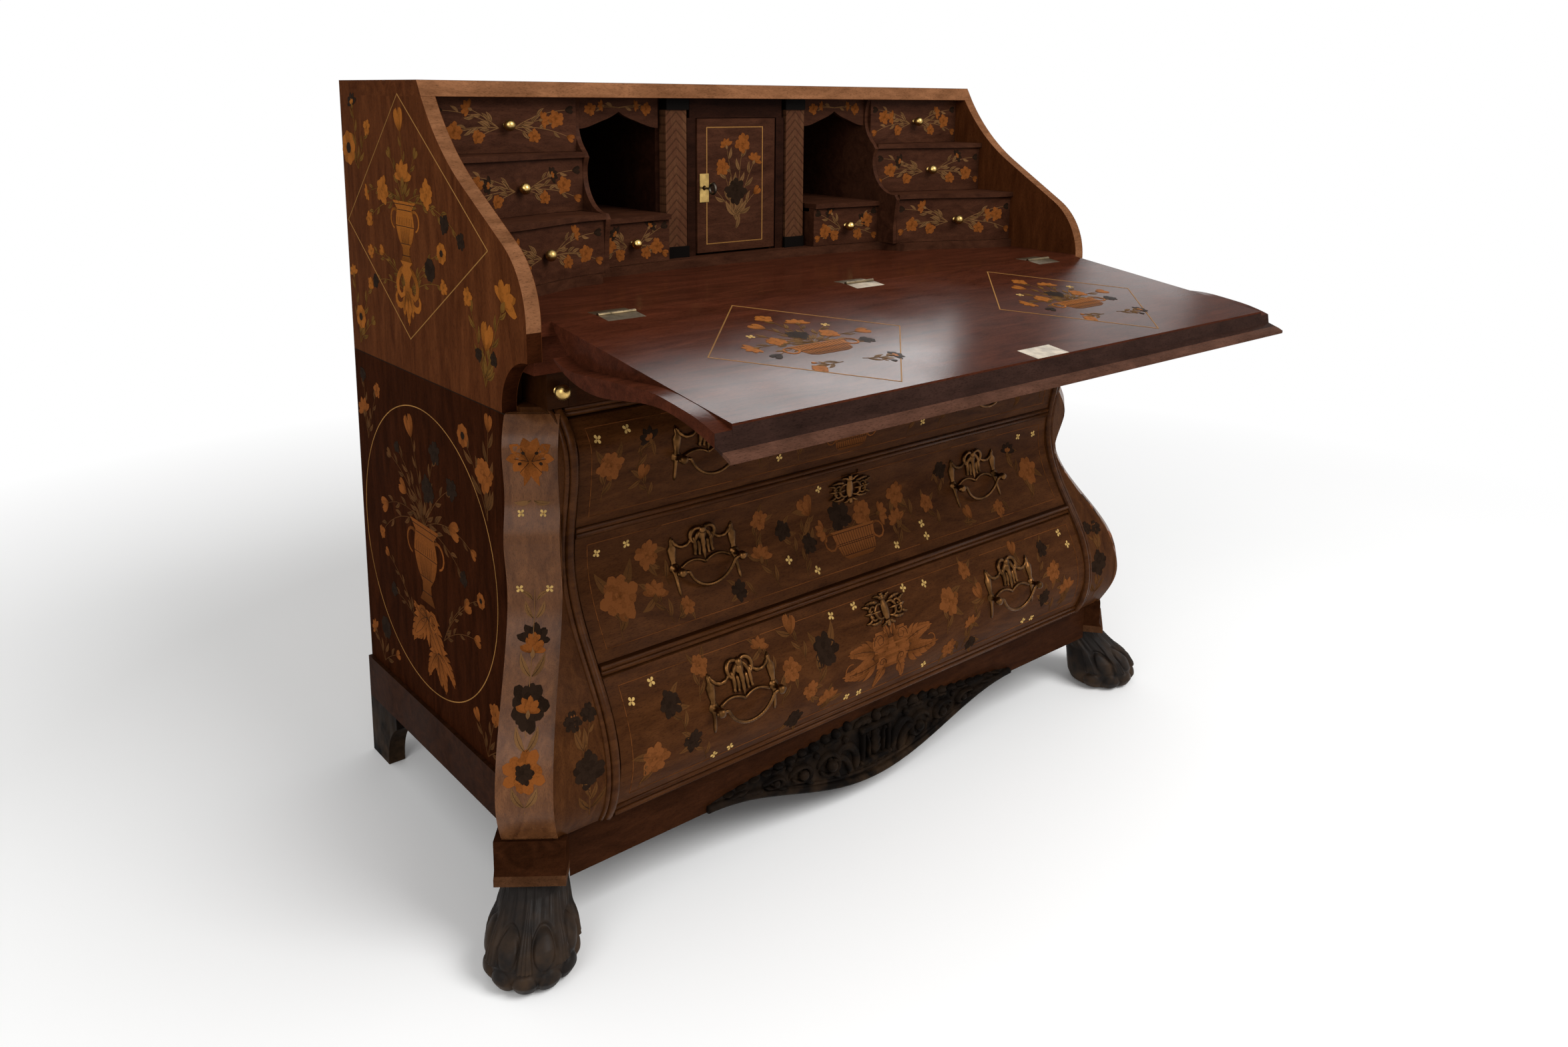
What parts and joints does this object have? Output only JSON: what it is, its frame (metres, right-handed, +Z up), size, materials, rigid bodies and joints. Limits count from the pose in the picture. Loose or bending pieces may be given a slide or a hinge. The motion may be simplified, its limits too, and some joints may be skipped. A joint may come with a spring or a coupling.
{
  "type": "slant-front bureau",
  "caption": "Slant-front bureau with a curved bombe chest of drawers, hinged writing fall, pull-out lopers, fitted nest of small drawers and paw feet.",
  "frame": {"origin": "middle of the underside of the whole object with its fall let down, on the floor", "axes": "+X to the right as seen from the front, +Y to the back, +Z up"},
  "size_m": [1.3278, 0.954, 1.1],
  "materials": {
    "marquetry_veneer": "polished veneer with inlay",
    "rail_veneer": "polished",
    "secondary_oak": "dry, unpolished",
    "desk_veneer": "polished",
    "ebonised_wood": "dark stained",
    "nest_veneer": "polished veneer with inlay",
    "antique_brass": "aged",
    "brass": "satin",
    "key_iron": "worn"
  },
  "bodies": {
    "carcase": {"apron": "marquetry_veneer", "back_feet": "ebonised_wood", "back_panel": "secondary_oak", "bed_hinge_leaves": "brass", "case_bottom": "rail_veneer", "closet_frame": "nest_veneer", "desk_bed": "desk_veneer", "dust_board_lower": "rail_veneer", "dust_board_middle": "rail_veneer", "dust_board_upper": "rail_veneer", "fall_rail": "rail_veneer", "foot_blocks": "marquetry_veneer", "frieze_panel": "marquetry_veneer", "loper_guides": "rail_veneer", "lower_side_left": "marquetry_veneer", "lower_side_right": "marquetry_veneer", "nest_dividers": "nest_veneer", "nest_plinth": "nest_veneer", "nest_shelves": "nest_veneer", "nest_valances": "nest_veneer", "paw_left": "ebonised_wood", "paw_right": "ebonised_wood", "pilasters": "nest_veneer", "side_plinths": "marquetry_veneer", "stiles": "marquetry_veneer", "top_board": "marquetry_veneer", "truss_left": "marquetry_veneer", "truss_right": "marquetry_veneer", "upper_side_left": "marquetry_veneer", "upper_side_right": "marquetry_veneer"},
    "fall": {"fall_board": "marquetry_veneer", "fall_brasses": "brass"},
    "loper_left": {"loper_left": "rail_veneer"},
    "loper_right": {"loper_right": "rail_veneer"},
    "drawer_upper": {"drawer_upper_front": "marquetry_veneer", "drawer_upper_tray": "secondary_oak", "drawer_upper_brasses": "antique_brass"},
    "bail_upper_left": {"bail_upper_left": "antique_brass"},
    "bail_upper_right": {"bail_upper_right": "antique_brass"},
    "drawer_middle": {"drawer_middle_front": "marquetry_veneer", "drawer_middle_tray": "secondary_oak", "drawer_middle_brasses": "antique_brass"},
    "bail_middle_left": {"bail_middle_left": "antique_brass"},
    "bail_middle_right": {"bail_middle_right": "antique_brass"},
    "drawer_lower": {"drawer_lower_front": "marquetry_veneer", "drawer_lower_tray": "secondary_oak", "drawer_lower_brasses": "antique_brass"},
    "bail_lower_left": {"bail_lower_left": "antique_brass"},
    "bail_lower_right": {"bail_lower_right": "antique_brass"},
    "nest_drawer_low_left": {"nest_drawer_low_left": "nest_veneer"},
    "nest_drawer_low_right": {"nest_drawer_low_right": "nest_veneer"},
    "nest_drawer_middle_left": {"nest_drawer_middle_left": "nest_veneer"},
    "nest_drawer_middle_right": {"nest_drawer_middle_right": "nest_veneer"},
    "nest_drawer_top_left": {"nest_drawer_top_left": "nest_veneer"},
    "nest_drawer_top_right": {"nest_drawer_top_right": "nest_veneer"},
    "pigeon_drawer_left": {"pigeon_drawer_left": "nest_veneer"},
    "pigeon_drawer_right": {"pigeon_drawer_right": "nest_veneer"},
    "door": {"door_panel": "nest_veneer", "door_lock_plate": "brass"},
    "key": {"door_key": "key_iron"}
  },
  "joints": [
    {"name": "fall_hinge", "type": "hinge", "parent": "carcase", "child": "fall", "pos_m": [0, -0.09002, 0.811], "axis": [1, 0, 0], "range_deg": [-144.8, 0]},
    {"name": "loper_left_slide", "type": "slide", "parent": "carcase", "child": "loper_left", "axis": [0, -1, 0], "range_m": [0, 0.26]},
    {"name": "loper_right_slide", "type": "slide", "parent": "carcase", "child": "loper_right", "axis": [0, -1, 0], "range_m": [0, 0.26]},
    {"name": "drawer_upper_slide", "type": "slide", "parent": "carcase", "child": "drawer_upper", "axis": [0, -1, 0], "range_m": [0, 0.3]},
    {"name": "bail_upper_left_swing", "type": "hinge", "parent": "drawer_upper", "child": "bail_upper_left", "pos_m": [-0.285, -0.11055, 0.605], "axis": [-1, 0, 0], "range_deg": [0, 90]},
    {"name": "bail_upper_right_swing", "type": "hinge", "parent": "drawer_upper", "child": "bail_upper_right", "pos_m": [0.285, -0.11055, 0.605], "axis": [-1, 0, 0], "range_deg": [0, 90]},
    {"name": "drawer_middle_slide", "type": "slide", "parent": "carcase", "child": "drawer_middle", "axis": [0, -1, 0], "range_m": [0, 0.3]},
    {"name": "bail_middle_left_swing", "type": "hinge", "parent": "drawer_middle", "child": "bail_middle_left", "pos_m": [-0.285, -0.10605, 0.443], "axis": [-1, 0, 0], "range_deg": [0, 90]},
    {"name": "bail_middle_right_swing", "type": "hinge", "parent": "drawer_middle", "child": "bail_middle_right", "pos_m": [0.285, -0.10605, 0.443], "axis": [-1, 0, 0], "range_deg": [0, 90]},
    {"name": "drawer_lower_slide", "type": "slide", "parent": "carcase", "child": "drawer_lower", "axis": [0, -1, 0], "range_m": [0, 0.3]},
    {"name": "bail_lower_left_swing", "type": "hinge", "parent": "drawer_lower", "child": "bail_lower_left", "pos_m": [-0.285, -0.1945, 0.274], "axis": [-1, 0, 0], "range_deg": [0, 90]},
    {"name": "bail_lower_right_swing", "type": "hinge", "parent": "drawer_lower", "child": "bail_lower_right", "pos_m": [0.285, -0.1945, 0.274], "axis": [-1, 0, 0], "range_deg": [0, 90]},
    {"name": "nest_drawer_low_left_slide", "type": "slide", "parent": "carcase", "child": "nest_drawer_low_left", "axis": [0, -1, 0], "range_m": [0, 0.15]},
    {"name": "nest_drawer_low_right_slide", "type": "slide", "parent": "carcase", "child": "nest_drawer_low_right", "axis": [0, -1, 0], "range_m": [0, 0.15]},
    {"name": "nest_drawer_middle_left_slide", "type": "slide", "parent": "carcase", "child": "nest_drawer_middle_left", "axis": [0, -1, 0], "range_m": [0, 0.15]},
    {"name": "nest_drawer_middle_right_slide", "type": "slide", "parent": "carcase", "child": "nest_drawer_middle_right", "axis": [0, -1, 0], "range_m": [0, 0.15]},
    {"name": "nest_drawer_top_left_slide", "type": "slide", "parent": "carcase", "child": "nest_drawer_top_left", "axis": [0, -1, 0], "range_m": [0, 0.15]},
    {"name": "nest_drawer_top_right_slide", "type": "slide", "parent": "carcase", "child": "nest_drawer_top_right", "axis": [0, -1, 0], "range_m": [0, 0.15]},
    {"name": "pigeon_drawer_left_slide", "type": "slide", "parent": "carcase", "child": "pigeon_drawer_left", "axis": [0, -1, 0], "range_m": [0, 0.15]},
    {"name": "pigeon_drawer_right_slide", "type": "slide", "parent": "carcase", "child": "pigeon_drawer_right", "axis": [0, -1, 0], "range_m": [0, 0.15]},
    {"name": "door_hinge", "type": "hinge", "parent": "carcase", "child": "door", "pos_m": [0.075, 0.21298, 0.9], "axis": [0, 0, 1], "range_deg": [0, 90]},
    {"name": "key_turn", "type": "hinge", "parent": "door", "child": "key", "pos_m": [-0.07, 0.20498, 0.935], "axis": [0, -1, 0], "range_deg": [0, 90]}
  ]
}
